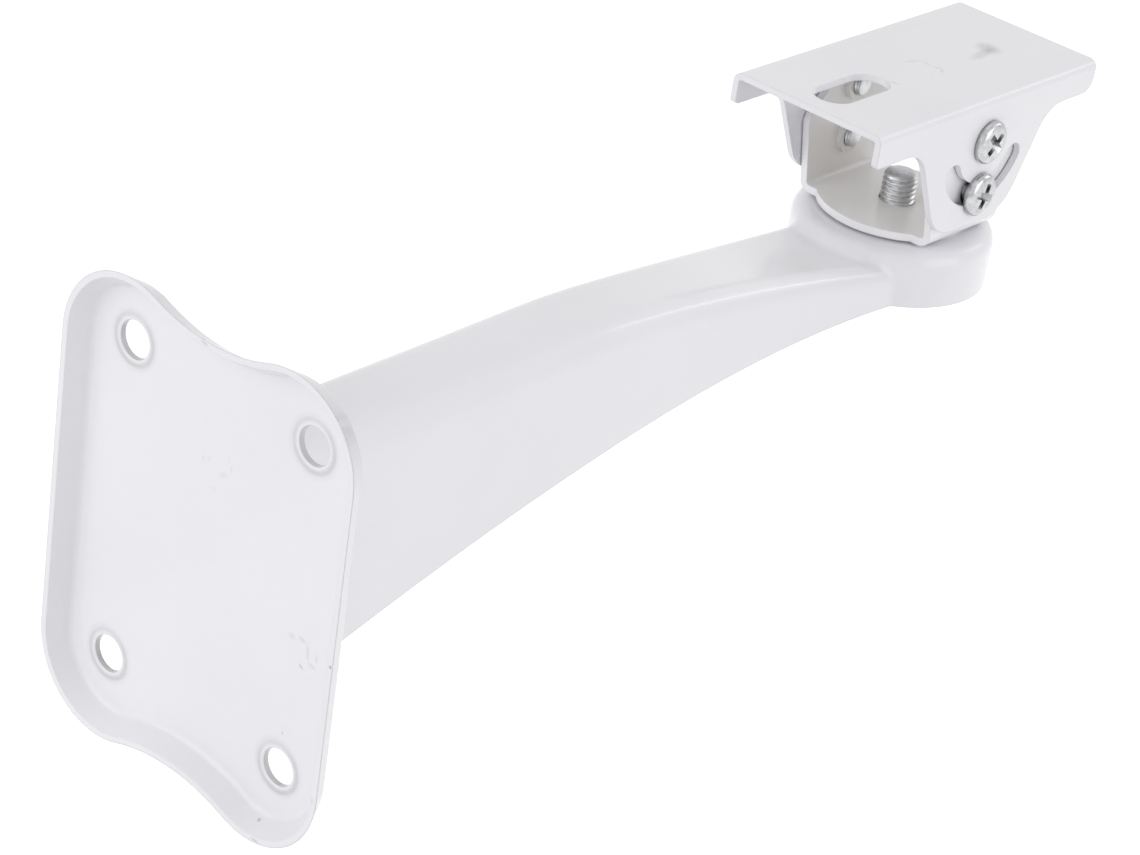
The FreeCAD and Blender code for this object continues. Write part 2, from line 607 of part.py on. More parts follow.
def make_camera_plate():
    """A sheet folded down along both sides, with an ear on each side that takes the screws."""
    body = new_body("camera_plate")
    half = "(Sizes.camera_width / 2)"
    fold = new_sketch(body, "camera_fold", "YZ_Plane", CAMERA_MIDDLE)
    inside = f"({half} - Sizes.camera_sheet)"
    under = f"({CAMERA_TOP} - Sizes.camera_sheet)"
    draw_polygon(fold, [(f"-{half}", FLANGE_FOOT), (f"-{inside}", FLANGE_FOOT), (f"-{inside}", under),
                        (inside, under), (inside, FLANGE_FOOT), (half, FLANGE_FOOT),
                        (half, CAMERA_TOP), (f"-{half}", CAMERA_TOP)])
    pad(body, "camera_channel", fold, "Sizes.camera_length", side="Symmetric")

    ear = new_sketch(body, "camera_ear", "XZ_Plane", half)
    seam = f"({CAMERA_TOP} - Sizes.camera_bend)"
    side = [("Sizes.ear_foot_width / 2", "(Sizes.tilt_height - Sizes.ear_drop)"),
            ("Sizes.ear_top_width / 2", FLANGE_FOOT),
            ("Sizes.ear_top_width / 2", seam)]
    draw_polygon(ear, both_sides(CAMERA_MIDDLE, side))
    left_ear = pad(body, "camera_ear_pad", ear, "Sizes.camera_sheet", against=True)
    mirrored(body, "camera_ears", [left_ear], "XZ_Plane")

    width = number(half)
    top = number(CAMERA_TOP)
    foot = number("Sizes.tilt_height - Sizes.ear_drop")
    flange = number(FLANGE_FOOT)
    middle = number(CAMERA_MIDDLE)
    neck = number("Sizes.ear_top_width / 2")
    wall_end = number(f"{CAMERA_MIDDLE} - Sizes.camera_length / 2")
    far_end = number(f"{CAMERA_MIDDLE} + Sizes.camera_length / 2")
    round_corners(body, "camera_ear_feet", foot, None, "Sizes.ear_foot_radius")
    round_corners(body, "camera_left_necks", flange, middle - neck, "Sizes.ear_neck_radius")
    round_corners(body, "camera_right_necks", flange, middle + neck, "Sizes.ear_neck_radius")
    round_corners(body, "camera_wall_corners", flange, wall_end, "Sizes.flange_corner")
    round_corners(body, "camera_far_corners", flange, far_end, "Sizes.flange_far_corner")
    round_edges(body, "camera_bends",
                lambda point, box: near(point.z, top) and near(abs(point.y), width)
                and near(box.YLength, 0),
                "Sizes.camera_bend")
    under_side = number(under)
    inner = number(inside)
    round_edges(body, "camera_inner_bends",
                lambda point, box: near(point.z, under_side) and near(abs(point.y), inner)
                and near(box.YLength, 0),
                "Sizes.camera_bend - Sizes.camera_sheet")

    slot = new_sketch(body, "camera_slot", "XY_Plane", CAMERA_TOP)
    draw_slot(slot, f"({CAMERA_MIDDLE} - Sizes.camera_slot_centre)",
              "Sizes.camera_slot_length / 2", "Sizes.camera_slot_width / 2")
    pocket(body, "camera_slot_cut", slot)
    side_holes = new_sketch(body, "camera_side_holes", "XZ_Plane")
    draw_circle(side_holes, "Sizes.pan_axis", "Sizes.tilt_height", "Sizes.screw_radius + Sizes.turning_gap")
    draw_lock_slot(side_holes)
    pocket(body, "camera_side_holes_cut", side_holes, side="Symmetric")
    return body


# Screws, bolt and washers


def make_side_screw(name, side, height):
    """A pan-head screw with a cross recess; side is -1 for the left ear and 1 for the right."""
    body = new_body(name)
    outline = new_sketch(body, name + "_outline", "XZ_Plane")
    draw_polygon(outline, [
        ("0", "-Sizes.screw_length"), ("Sizes.screw_radius - Sizes.screw_point", "-Sizes.screw_length"),
        ("Sizes.screw_radius", "Sizes.screw_point - Sizes.screw_length"), ("Sizes.screw_radius", "0"),
        ("Sizes.screw_head_radius", "0"), ("Sizes.screw_head_radius", "Sizes.screw_head_height"),
        ("0", "Sizes.screw_head_height")])
    turned(body, name + "_turned", outline)
    top = number("Sizes.screw_head_height")
    round_edges(body, name + "_head_edge", lambda point, box: near(box.ZMin, top), "Sizes.screw_head_edge")

    recess = new_sketch(body, name + "_recess", "XY_Plane", "Sizes.screw_head_height")
    long_half = "(Sizes.recess_span / 2)"
    short_half = "(Sizes.recess_width / 2)"
    quarter = ((long_half, f"-{short_half}"), (long_half, short_half), (short_half, short_half))
    draw_polygon(recess, [
        quarter[0], quarter[1], quarter[2],
        (short_half, long_half), (f"-{short_half}", long_half), (f"-{short_half}", short_half),
        (f"-{long_half}", short_half), (f"-{long_half}", f"-{short_half}"),
        (f"-{short_half}", f"-{short_half}"), (f"-{short_half}", f"-{long_half}"),
        (short_half, f"-{long_half}"), (short_half, f"-{short_half}")])
    pocket(body, name + "_recess_cut", recess, "Sizes.recess_depth")

    body.Placement = FreeCAD.Placement(vector(0, 0), FreeCAD.Rotation(vector(1, 0), -90 * side))
    body.setExpression("Placement.Base.x", "Sizes.pan_axis")
    body.setExpression("Placement.Base.y", f"Sizes.camera_width / 2 * {side}")
    body.setExpression("Placement.Base.z", height)
    return body


def make_swivel_bolt():
    """A hexagon bolt that comes up through the boss and screws into the yoke."""
    body = new_body("swivel_bolt")
    head = new_sketch(body, "bolt_head", "XY_Plane")
    corner = "(Sizes.bolt_flats / 2 / cos(30))"
    draw_polygon(head, [(f"{corner} * cos({turn})", f"{corner} * sin({turn})") for turn in range(0, 360, 60)])
    pad(body, "bolt_head_pad", head, "Sizes.bolt_head_height", against=True)
    crown = new_sketch(body, "bolt_head_crown", "XZ_Plane")
    outside = f"({corner} + {OVERSHOOT})"
    flat = "(Sizes.bolt_flats / 2 * Sizes.bolt_crown)"
    slope = f"({outside} - {flat}) * tan(Sizes.bolt_crown_angle)"
    draw_polygon(crown, [(flat, "-Sizes.bolt_head_height"), (outside, "-Sizes.bolt_head_height"),
                         (outside, f"-Sizes.bolt_head_height + {slope}")])
    turned(body, "bolt_head_crown_cut", crown, "PartDesign::Groove")
    shank = new_sketch(body, "bolt_shank", "XY_Plane")
    draw_circle(shank, "0", "0", "Sizes.bolt_radius")
    pad(body, "bolt_shank_pad", shank, "Sizes.bolt_length")
    tip = number("Sizes.bolt_length")
    bevel_edges(body, "bolt_tip", lambda point, box: near(box.ZMin, tip), "Sizes.bolt_point")
    stand(body, f"{WEB_FOOT} - Sizes.washer_sheet - Sizes.spring_sheet")
    return body


def stand(body, height):
    """Stand a turned piece upright on the swivel axis."""
    body.setExpression("Placement.Base.x", "Sizes.pan_axis")
    body.setExpression("Placement.Base.z", height)


def make_washer(name, radius, thickness, height):
    body = new_body(name)
    ring = new_sketch(body, name + "_ring", "XY_Plane")
    draw_circle(ring, "0", "0", radius)
    draw_circle(ring, "0", "0", "Sizes.bolt_radius + Sizes.washer_gap")
    pad(body, name + "_pad", ring, thickness)
    stand(body, height)
    return body


def make_spring_washer():
    """A washer cut through on one side."""
    height = f"{WEB_FOOT} - Sizes.washer_sheet - Sizes.spring_sheet"
    body = make_washer("spring_washer", "Sizes.spring_radius", "Sizes.spring_sheet", height)
    split = new_sketch(body, "spring_split", "XY_Plane", "Sizes.spring_sheet")
    draw_polygon(split, rectangle("Sizes.spring_radius", "0", "Sizes.bolt_radius", "Sizes.spring_split / 2"))
    pocket(body, "spring_split_cut", split)
    return body


def check_and_write(bodies):
    document.recompute()
    for item in document.Objects:
        if "Invalid" in item.State or "Error" in item.State:
            raise ValueError(f"{item.Label} did not build: {item.State}")
    for body in bodies:
        if body.Shape.isNull() or not body.Shape.isValid() or len(body.Shape.Solids) != 1:
            raise ValueError(f"{body.Label} is not one sound solid")
    os.makedirs("parts", exist_ok=True)
    for body in bodies:
        body.Shape.exportStep(f"parts/{body.Label}.step")
        print(f"{body.Label}: {body.Shape.Volume:.0f} cubic millimetres")


fill_sheet()
pieces = [make_wall_plate(), make_arm(), make_yoke(), make_camera_plate(), make_swivel_bolt()]
pieces.append(make_washer("flat_washer", "Sizes.washer_radius", "Sizes.washer_sheet",
                          f"{WEB_FOOT} - Sizes.washer_sheet"))
pieces.append(make_spring_washer())
for side_name, side_sign in (("left", -1), ("right", 1)):
    pieces.append(make_side_screw(f"pivot_screw_{side_name}", side_sign, "Sizes.tilt_height"))
    pieces.append(make_side_screw(f"lock_screw_{side_name}", side_sign, LOCK_HEIGHT))
check_and_write(pieces)
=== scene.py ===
import bmesh
import bpy
import math
from mathutils import Euler, Matrix, Vector


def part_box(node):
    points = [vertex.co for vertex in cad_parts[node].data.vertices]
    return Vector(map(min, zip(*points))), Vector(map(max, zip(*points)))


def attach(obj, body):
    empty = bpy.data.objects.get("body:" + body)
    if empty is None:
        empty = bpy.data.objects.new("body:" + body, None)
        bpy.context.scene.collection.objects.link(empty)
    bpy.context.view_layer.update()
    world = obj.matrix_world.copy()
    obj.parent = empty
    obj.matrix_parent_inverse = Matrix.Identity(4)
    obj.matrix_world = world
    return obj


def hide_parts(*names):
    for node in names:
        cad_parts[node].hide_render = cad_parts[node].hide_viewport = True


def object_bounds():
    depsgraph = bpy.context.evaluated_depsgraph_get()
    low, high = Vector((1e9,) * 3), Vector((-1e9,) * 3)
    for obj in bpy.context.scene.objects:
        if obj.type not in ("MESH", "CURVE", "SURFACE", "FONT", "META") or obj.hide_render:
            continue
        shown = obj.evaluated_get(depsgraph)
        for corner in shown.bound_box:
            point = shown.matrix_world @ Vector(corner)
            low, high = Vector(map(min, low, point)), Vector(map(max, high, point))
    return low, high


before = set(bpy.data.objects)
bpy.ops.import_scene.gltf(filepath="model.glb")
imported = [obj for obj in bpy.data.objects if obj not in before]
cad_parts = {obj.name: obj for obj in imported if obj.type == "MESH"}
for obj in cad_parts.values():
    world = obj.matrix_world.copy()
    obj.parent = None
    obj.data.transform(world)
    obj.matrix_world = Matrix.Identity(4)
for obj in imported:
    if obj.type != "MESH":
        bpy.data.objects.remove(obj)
cad_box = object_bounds()

MM = 0.001


def centre_of(node):
    """The middle of a CAD node's box."""
    lowest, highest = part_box(node)
    return (lowest + highest) / 2


# The camera, worked out from the straight edges in the photograph
IMAGE_WIDTH = 1140
CAMERA_PLACE = Vector((-374.52, -372.65, 322.14)) * MM
CAMERA_TURN = (61.399, -7.772, -47.971)
FOCAL_PIXELS = 3380.65
SENSOR_WIDTH = 36
NEAR_CLIP = 0.01
FAR_CLIP = 50

# Studio
WORLD_LIGHT = 0.66
FLOOR_DROP = 0.16
FLOOR_HALF = 6
FLOOR_SHADE = (0.9, 0.9, 0.9)
FLOOR_GLOW = 0.5
WHITE = (1, 1, 1)

# Places that the frame gives
PAN_AXIS = centre_of("swivel_bolt").x
TILT_HEIGHT = centre_of("pivot_screw_left").z
LOCK_HEIGHT = centre_of("lock_screw_left").z
YOKE_BASE_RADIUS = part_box("yoke")[1].x - PAN_AXIS

# Fasteners, with the sizes that the part's source gives them
BOLT_RADIUS = 4 * MM
BOLT_LENGTH = 16 * MM
BOLT_FLATS = 13 * MM
BOLT_HEAD = 5.3 * MM
SCREW_RADIUS = 2.5 * MM
SCREW_LENGTH = 6 * MM
SCREW_TIP = 0.5 * MM
HEAD_RADIUS = 5 * MM
HEAD_HEIGHT = 2.7 * MM

# The bevel of the bolt's head: the flat inside it, as a share of the width across flats, and its slope
BOLT_END_SHARE = 0.95
BEVEL_ANGLE = math.radians(30)

# What this script adds: threads, a rounder bolt tip, a deeper recess, and a gap between heads and ears
BOLT_PITCH = 1.25 * MM
BOLT_TIP = 1.8 * MM
SCREW_PITCH = 0.8 * MM
HEAD_GAP = 0.02 * MM
RECESS_HALF = 3.7 * MM
RECESS_WIDTH = 1.8 * MM
RECESS_DEPTH = 1.9 * MM
CUTTER_TOP = 1.2 * HEAD_HEIGHT

# Reach and width of the recess at its foot and at the cutter's top, as shares of its size
RECESS_FOOT_SHARES = (0.45, 0.75)
CUTTER_TOP_SHARES = (1.1, 1.05)

# A thread's depth as a share of its pitch, and how much steeper than a zigzag it is, for a flat crest
THREAD_DEPTH = 0.4
FLANK_STEEPNESS = 1.25

# A screw head's outline from its foot to its dome, as shares of its radius
FOOT_REACH = 0.97
SHOULDER_REACH = 0.66
DOME_REACH = 0.4

# The same outline, as shares of the head's height
EDGE_HEIGHT = 0.2
SHOULDER_RISE = 0.58
DOME_HEIGHT = 0.83
CROWN_HEIGHT = 0.86

# How far each side screw is turned, in degrees
SCREW_SPINS = {
    "pivot_screw_left": 45,
    "lock_screw_left": -20,
    "pivot_screw_right": 35,
    "lock_screw_right": 60,
}

# Wall screw holes, as the part's source has them, each with a raised lip and a ring of painted shade round
# it
HOLE_ACROSS = 23.5 * MM
HOLE_UP = 34 * MM
HOLE_RADIUS = 3.75 * MM
LIP_TOP = 4.1 * MM
LIP_FOOT = 5.7 * MM
LIP_HEIGHT = 0.6 * MM
LIP_SHADE_START = 4.3 * MM
LIP_SHADE_MIDDLE = 5.2 * MM
LIP_SHADE_END = 6.8 * MM
LIP_SHADE_STRENGTH = 0.1

# How far the plate's faces stand from its middle along their normals: at most this on the flats, and at
# least this round the outside of the rim
FLAT_REACH = 12 * MM
RIM_REACH = 22 * MM

# Places on the other painted pieces
COLLAR_BORE = 3.3 * MM
COLLAR_INNER_END = 15.6 * MM
YOKE_INSIDE = 16.45 * MM
YOKE_OUTSIDE = 16.6 * MM
YOKE_BASE_TOP = 20 * MM
# Where the painted light on top of the arm's end rises and falls along X
ARM_LIGHT_RISE_START = 105 * MM
ARM_LIGHT_RISE_END = 160 * MM
ARM_LIGHT_FALL_START = 184 * MM
ARM_LIGHT_FALL_END = 190 * MM

# Width over which one paint passes into another
BLUR = 0.1 * MM

# Paint, each pair its darkest and lightest shade; the plate's, arm's and table's pairs differ a little in
# lightness as painted light and shade
PLATE_SHADES = ((0.835, 0.83, 0.865), (0.865, 0.86, 0.893))
# Painted shade on the outside of the plate's rim
RIM_PAINTED_SHADE = ((0.64, 0.637, 0.665), (0.67, 0.667, 0.695))
ARM_SHADES = ((0.805, 0.80, 0.835), (0.83, 0.825, 0.86))
# Painted light on the top of the arm's end, beside the boss
ARM_END_PAINTED_LIGHT = ((0.92, 0.915, 0.945), (0.945, 0.94, 0.965))
TABLE_SHADES = ((0.81, 0.805, 0.84), (0.84, 0.835, 0.868))
# The yoke's coat is darker and warmer inside; its floor, outer faces and base edge are painted lighter as
# painted light
YOKE_SHADES = ((0.81, 0.79, 0.76), (0.84, 0.825, 0.79))
YOKE_FLOOR_PAINTED_LIGHT = ((0.89, 0.875, 0.85), (0.92, 0.905, 0.88))
YOKE_OUTER_PAINTED_LIGHT = ((0.87, 0.865, 0.895), (0.90, 0.895, 0.925))
# Painted highlight along sharp edges, and below how near an edge it reaches
EDGE_HIGHLIGHT = (0.9, 0.9, 0.92)
# Painted shade on the walls of the wall screw holes
HOLE_WALL_PAINTED_SHADE = (0.56, 0.56, 0.58)
# Colour of the marks, also used for the painted shade round the hole lips
MARKS_AND_PAINTED_SHADE = (0.1, 0.095, 0.11)
HIGHLIGHT_EDGE = 0.25 * MM
PAINTED_EDGE = 0.4 * MM
PEEL_HEIGHT = 0.4 * MM

# Bare steel, darkened as painted shade, and plated steel with painted shade in its hollows; zinc is a
# little bluer than grey
SHADOWED_BORE_STEEL = (0.1, 0.1, 0.104)
ZINC_TINT = (1, 1.01, 1.03)
HOLLOW_SHADE = (0.16, 0.162, 0.165)
ZINC_EDGE = 0.12 * MM
ZINC_GRAIN = 0.1 * MM

# Marks in the paint, in millimetres and degrees: middle, reach each way, turn, and how dark
PLATE_BACK = 4.5
TABLE_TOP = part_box("camera_plate")[1].z / MM
MARK_DEPTH = 12
PLATE_MARKS = (
    # Faint scuffs above the middle
    ((3.2, 18.9), (0.4, 1.1), 0, 0.1),
    ((1.8, 19.4), (0.4, 0.8), 0, 0.08),
    ((-2.2, 18.0), (1.8, 0.9), -25, 0.08),
    ((-4.1, 20.0), (0.35, 1.3), 0, 0.1),
    ((-0.2, 14.1), (0.9, 0.9), 0, 0.05),
    ((-3.2, 21.6), (0.5, 0.9), 0, 0.05),
    # A darker scuff towards the near edge
    ((-23.3, -5.3), (1.4, 0.9), 0, 0.11),
    ((-25.9, -4.8), (1.5, 0.8), 12, 0.14),
    ((-27.6, -6.7), (0.6, 2.4), -10, 0.15),
    ((-28.9, -8.9), (1.5, 0.6), 8, 0.13),
    ((-29.8, -6.9), (0.5, 1.3), -10, 0.12),
    ((-26.3, -10.3), (1.0, 0.4), 30, 0.34),
    # The chip in the rim, and specks
    ((-37.4, -2.8), (0.5, 0.6), 0, 0.7),
    ((-36.8, -32.0), (0.8, 1.4), 0, 0.16),
    ((-23.7, -26.2), (0.4, 0.5), 0, 0.3),
    ((-21.9, -46.0), (0.55, 0.33), 0, 0.45),
    ((-24.0, -48.2), (1.7, 0.5), 0, 0.35),
    ((1.2, 44.7), (1.6, 0.5), 5, 0.3),
)
TABLE_MARKS = (
    # A soft dark patch near the far end
    ((231.3, -2.2), (3.6, 4.4), -20, 0.3),
    ((227.4, -3.4), (6.8, 2.0), 8, 0.22),
    # A crooked scratch across the middle, and a scuff beside the slot
    ((209.1, 2.4), (3.2, 0.6), -25, 0.15),
    ((211.0, -0.2), (0.6, 2.2), -18, 0.12),
    ((211.2, -2.7), (0.6, 1.5), 37, 0.17),
    ((210.7, -4.4), (1.9, 0.6), 41, 0.15),
    ((195.4, -3.0), (0.8, 2.2), 20, 0.13),
)


def new_object(name, data):
    """An object in the scene for a camera, a lamp or a mesh."""
    thing = bpy.data.objects.new(name, data)
    bpy.context.collection.objects.link(thing)
    return thing


# Camera

def place_camera():
    """A camera at the photograph's viewing angle."""
    lens = bpy.data.cameras.new("camera")
    lens.sensor_fit = "HORIZONTAL"
    lens.sensor_width = SENSOR_WIDTH
    lens.lens = FOCAL_PIXELS / IMAGE_WIDTH * SENSOR_WIDTH
    lens.clip_start = NEAR_CLIP
    lens.clip_end = FAR_CLIP
    camera = new_object("camera", lens)
    camera.location = CAMERA_PLACE
    camera.rotation_euler = Euler([math.radians(angle) for angle in CAMERA_TURN])
    bpy.context.scene.camera = camera


# Node helpers

def new_nodes(material_or_world):
    """An empty node tree, with shorthands to add a node and to link two."""
    material_or_world.use_nodes = True
    tree = material_or_world.node_tree
    tree.nodes.clear()

    def add(kind, **values):
        """A node with its settings and the values of its sockets, where _ stands for a space."""
        node = tree.nodes.new(kind)
        for key, value in values.items():
            if hasattr(node, key):
                setattr(node, key, value)
            else:
                node.inputs[key.replace("_", " ")].default_value = value
        return node

    def link(source, output, target, entry):
        tree.links.new(source.outputs[output], target.inputs[entry])

    return add, link


def combined(add, link, operation, first, second, output=0):
    """One value worked out from the same output of two nodes."""
    node = add("ShaderNodeMath", operation=operation)
    link(first, output, node, 0)
    link(second, output, node, 1)
    return node


def scaled(add, link, source, factor):
    node = add("ShaderNodeMath", operation="MULTIPLY")
    node.inputs[1].default_value = factor
    link(source, 0, node, 0)
    return node


def fade(add, link, source, output, full, none):
    """1 where the source is at full, 0 where it is at none, and a smooth change between."""
    node = add("ShaderNodeMapRange", interpolation_type="SMOOTHSTEP", clamp=True,
               From_Min=none, From_Max=full)
    link(source, output, node, 0)
    return node


def noise(add, link, place, scale, detail, roughness):
    texture = add("ShaderNodeTexNoise", Scale=scale, Detail=detail, Roughness=roughness)
    link(place, "Object", texture, "Vector")
    return texture


def clouded(add, link, cloud, shades, low=0.3, high=0.7):
    """A shade that drifts with the cloud between the darkest and the lightest of a pair."""
    ramp = add("ShaderNodeValToRGB")
    for element, position, shade in zip(ramp.color_ramp.elements, (low, high), shades):
        element.position = position
        element.color = (*shade, 1)
    link(cloud, 0, ramp, 0)
    return ramp


def mixed(add, link, first, second, amount):
    """The first shade, turned into the second by the amount; each is a colour or a node that gives one."""
    node = add("ShaderNodeMixRGB")
    link(amount, 0, node, 0)
    for entry, shade in ((1, first), (2, second)):
        if isinstance(shade, tuple):
            node.inputs[entry].default_value = (*shade, 1)
        else:
            link(shade, 0, node, entry)
    return node


def mixed_shaders(add, link, first, second, amount):
    node = add("ShaderNodeMixShader")
    link(amount, 0, node, 0)
    link(first, 0, node, 1)
    link(second, 0, node, 2)
    return node


def bumped(add, link, form, height, strength, distance):
    """The form with a relief on it."""
    bump = add("ShaderNodeBump", Strength=strength, Distance=distance)
    link(height, 0, bump, "Height")
    link(form, 0, bump, "Normal")
    return bump


def drifting_gloss(add, link, cloud, lowest, highest):
    """A roughness that drifts with the cloud."""
    gloss = add("ShaderNodeMapRange", To_Min=lowest, To_Max=highest)
    link(cloud, 0, gloss, 0)
    return gloss


def shader(add, link, colour, gloss, form, **values):
    """A surface from nodes for its colour, roughness and form, and the values of other sockets."""
    node = add("ShaderNodeBsdfPrincipled", **values)
    link(colour, 0, node, "Base Color")
    link(gloss, 0, node, "Roughness")
    link(form, 0, node, "Normal")
    return node


# Light and floor

def direct_view(add, link):
    """1 for rays from the camera, a mirror or glass, and 0 for rays that only carry light."""
    path = add("ShaderNodeLightPath")
    seen = add("ShaderNodeMath", operation="MAXIMUM")
    clear = add("ShaderNodeMath", operation="MAXIMUM")
    link(path, "Is Camera Ray", seen, 0)
    link(path, "Is Transmission Ray", seen, 1)
    link(seen, 0, clear, 0)
    link(path, "Is Glossy Ray", clear, 1)
    return clear


def make_world():
    """White where it is seen, and a softer even light where it only lights the bracket."""
    world = bpy.data.worlds.new("studio")
    bpy.context.scene.world = world
    add, link = new_nodes(world)
    light = add("ShaderNodeBackground", Color=(*WHITE, 1), Strength=WORLD_LIGHT)
    seen = add("ShaderNodeBackground", Color=(*WHITE, 1), Strength=1)
    out = add("ShaderNodeOutputWorld")
    link(mixed_shaders(add, link, light, seen, direct_view(add, link)), 0, out, 0)


def floor_material():
    """Pale floor, lifted towards white where it is seen, so that it still takes a shadow."""
    material = bpy.data.materials.new("pale_floor")
    add, link = new_nodes(material)
    matte = add("ShaderNodeBsdfDiffuse", Color=(*FLOOR_SHADE, 1))
    glow = add("ShaderNodeEmission", Color=(*WHITE, 1), Strength=FLOOR_GLOW)
    lifted = add("ShaderNodeAddShader")
    link(matte, 0, lifted, 0)
    link(glow, 0, lifted, 1)
    out = add("ShaderNodeOutputMaterial")
    link(mixed_shaders(add, link, matte, lifted, direct_view(add, link)), 0, out, 0)
    return material


def make_floor():
    lowest = cad_box[0][2]
    mesh = bpy.data.meshes.new("floor")
    corners = [(-FLOOR_HALF, -FLOOR_HALF, 0), (FLOOR_HALF, -FLOOR_HALF, 0),
               (FLOOR_HALF, FLOOR_HALF, 0), (-FLOOR_HALF, FLOOR_HALF, 0)]
    mesh.from_pydata(corners, [], [(0, 1, 2, 3)])
    mesh.materials.append(floor_material())
    floor = new_object("floor", mesh)
    floor.location = (0, 0, lowest - FLOOR_DROP)


def soft_light(name, place, aim, length, width, power):
    """A lamp that points at a place on the bracket, with its long side leaning along the arm."""
    lamp = bpy.data.lights.new(name, "AREA")
    lamp.shape = "RECTANGLE"
    lamp.size = length
    lamp.size_y = width
    lamp.energy = power
    light = new_object(name, lamp)
    back = (Vector(place) - Vector(aim)).normalized()
    lean = Vector((1, 0, 0))
    lean = (lean - lean.dot(back) * back).normalized()
    light.rotation_euler = Matrix((lean, back.cross(lean), back)).transposed().to_euler()
    light.location = place
    light.visible_camera = False


def make_lights():
    """Three soft lamps, and a narrow one that draws the bright line along the arm's edge."""
    plate = (0.05, 0, 0)
    arm = (0.13, 0, 0.02)
    head = (PAN_AXIS, 0, 0.03)
    soft_light("left_light", place=(-1.0, 0.5, 0.45), aim=plate, length=1.0, width=1.0, power=4.3)
    soft_light("front_light", place=(0.4, -1.2, 0.42), aim=head, length=0.9, width=0.9, power=3.4)
    soft_light("top_light", place=(0.2, 0.2, 1.3), aim=head, length=0.9, width=0.9, power=1.1)
    soft_light("edge_light", place=(1.04, -0.37, 0.48), aim=arm, length=0.45, width=0.1, power=0.5)


# Where things show. What stands for a place gives 1 there, 0 elsewhere and a smooth change between.

def coordinate(add, link, place, axis, mirrored=False):
    """The node and output with each place's coordinate, or its distance from the middle if mirrored."""
    parts = add("ShaderNodeSeparateXYZ")
    link(place, "Object", parts, 0)
    if not mirrored:
        return parts, axis
    size = add("ShaderNodeMath", operation="ABSOLUTE")
    link(parts, axis, size, 0)
    return size, 0


def along(add, link, place, axis, none, full, mirrored=False):
    """A smooth change along one axis, alike on both sides of the middle if mirrored."""
    return fade(add, link, *coordinate(add, link, place, axis, mirrored), full=full, none=none)


def from_line(add, link, place, centre, mirrored=False):
    """How far each place is from a line along the third axis, through a centre on the other two.

    If mirrored, the line has a twin on the other side of each middle, and the nearer one counts.
    """
    offsets = add("ShaderNodeCombineXYZ")
    for axis, value in centre.items():
        away = add("ShaderNodeMath", operation="SUBTRACT")
        away.inputs[1].default_value = value
        link(*coordinate(add, link, place, axis, mirrored), away, 0)
        link(away, 0, offsets, axis)
    far = add("ShaderNodeVectorMath", operation="LENGTH")
    link(offsets, 0, far, 0)
    return far


def spot(add, link, place, middle, reach, turns):
    """A soft oval patch; middle and reach in millimetres, turns in degrees."""
    patch = add("ShaderNodeMapping", vector_type="TEXTURE")
    patch.inputs["Location"].default_value = [value * MM for value in middle]
    patch.inputs["Rotation"].default_value = [math.radians(turn) for turn in turns]
    patch.inputs["Scale"].default_value = [value * MM for value in reach]
    link(place, "Object", patch, "Vector")
    far = add("ShaderNodeVectorMath", operation="LENGTH")
    link(patch, 0, far, 0)
    return fade(add, link, far, "Value", full=0.2, none=1)


def sharp_edges(add, link, radius):
    """Where the surface turns within the radius."""
    rounded = add("ShaderNodeBevel", samples=8, Radius=radius)
    surface = add("ShaderNodeNewGeometry")
    match = add("ShaderNodeVectorMath", operation="DOT_PRODUCT")
    link(rounded, 0, match, 0)
    link(surface, "Normal", match, 1)
    return fade(add, link, match, "Value", full=0.8, none=0.99)


def upward(add, link, place):
    """Faces that look up, where the coat is painted lighter as painted light."""
    surface = add("ShaderNodeNewGeometry")
    parts = add("ShaderNodeSeparateXYZ")
    link(surface, "Normal", parts, 0)
    return fade(add, link, parts, "Z", full=0.9, none=0.5)


# The top of the arm's end beside the boss, where the coat is painted lighter as painted light
def top_of_arm_end(add, link, place):
    start = along(add, link, place, "X", none=ARM_LIGHT_RISE_START, full=ARM_LIGHT_RISE_END)
    end = along(add, link, place, "X", none=ARM_LIGHT_FALL_END, full=ARM_LIGHT_FALL_START)
    stretch = combined(add, link, "MULTIPLY", start, end)
    return combined(add, link, "MULTIPLY", stretch, upward(add, link, place))


def away_from_middle(add, link, place):
    """How far each face of the plate stands from the middle of the plate, measured along its normal."""
    surface = add("ShaderNodeNewGeometry")
    away = add("ShaderNodeVectorMath", operation="DOT_PRODUCT")
    link(surface, "Normal", away, 0)
    link(place, "Object", away, 1)
    return away


def outside_of_rim(add, link, place):
    """The outside of the plate's rim, where the coat is painted darker as painted shade."""
    return fade(add, link, away_from_middle(add, link, place), "Value", full=RIM_REACH, none=FLAT_REACH)


# The outer faces of the yoke's ears, where the coat is painted lighter as painted light
def outside_of_yoke(add, link, place):
    return along(add, link, place, "Y", none=YOKE_INSIDE, full=YOKE_OUTSIDE, mirrored=True)


def edge_of_yoke_base(add, link, place):
    """The round edge of the yoke's base, where the coat is painted lighter as painted light."""
    far = from_line(add, link, place, {"X": PAN_AXIS, "Y": 0})
    rim_start = YOKE_BASE_RADIUS - 3 * BLUR
    edge = fade(add, link, far, "Value", full=YOKE_BASE_RADIUS - BLUR, none=rim_start)
    low = along(add, link, place, "Z", none=YOKE_BASE_TOP + BLUR, full=YOKE_BASE_TOP)
    return combined(add, link, "MULTIPLY", edge, low)


def collar_bores(add, link, place):
    """The insides of the threaded collars, where the paint was kept out and the steel is bare, darkened as
    painted shade under the screw heads.
    """
    pivot, lock = [from_line(add, link, place, {"X": PAN_AXIS, "Z": height})
                   for height in (TILT_HEIGHT, LOCK_HEIGHT)]
    nearest = combined(add, link, "MINIMUM", pivot, lock, output="Value")
    inside = fade(add, link, nearest, 0, full=COLLAR_BORE, none=COLLAR_BORE + BLUR)
    outer = along(add, link, place, "Y", none=COLLAR_INNER_END, full=COLLAR_INNER_END + BLUR, mirrored=True)
    return combined(add, link, "MULTIPLY", inside, outer)


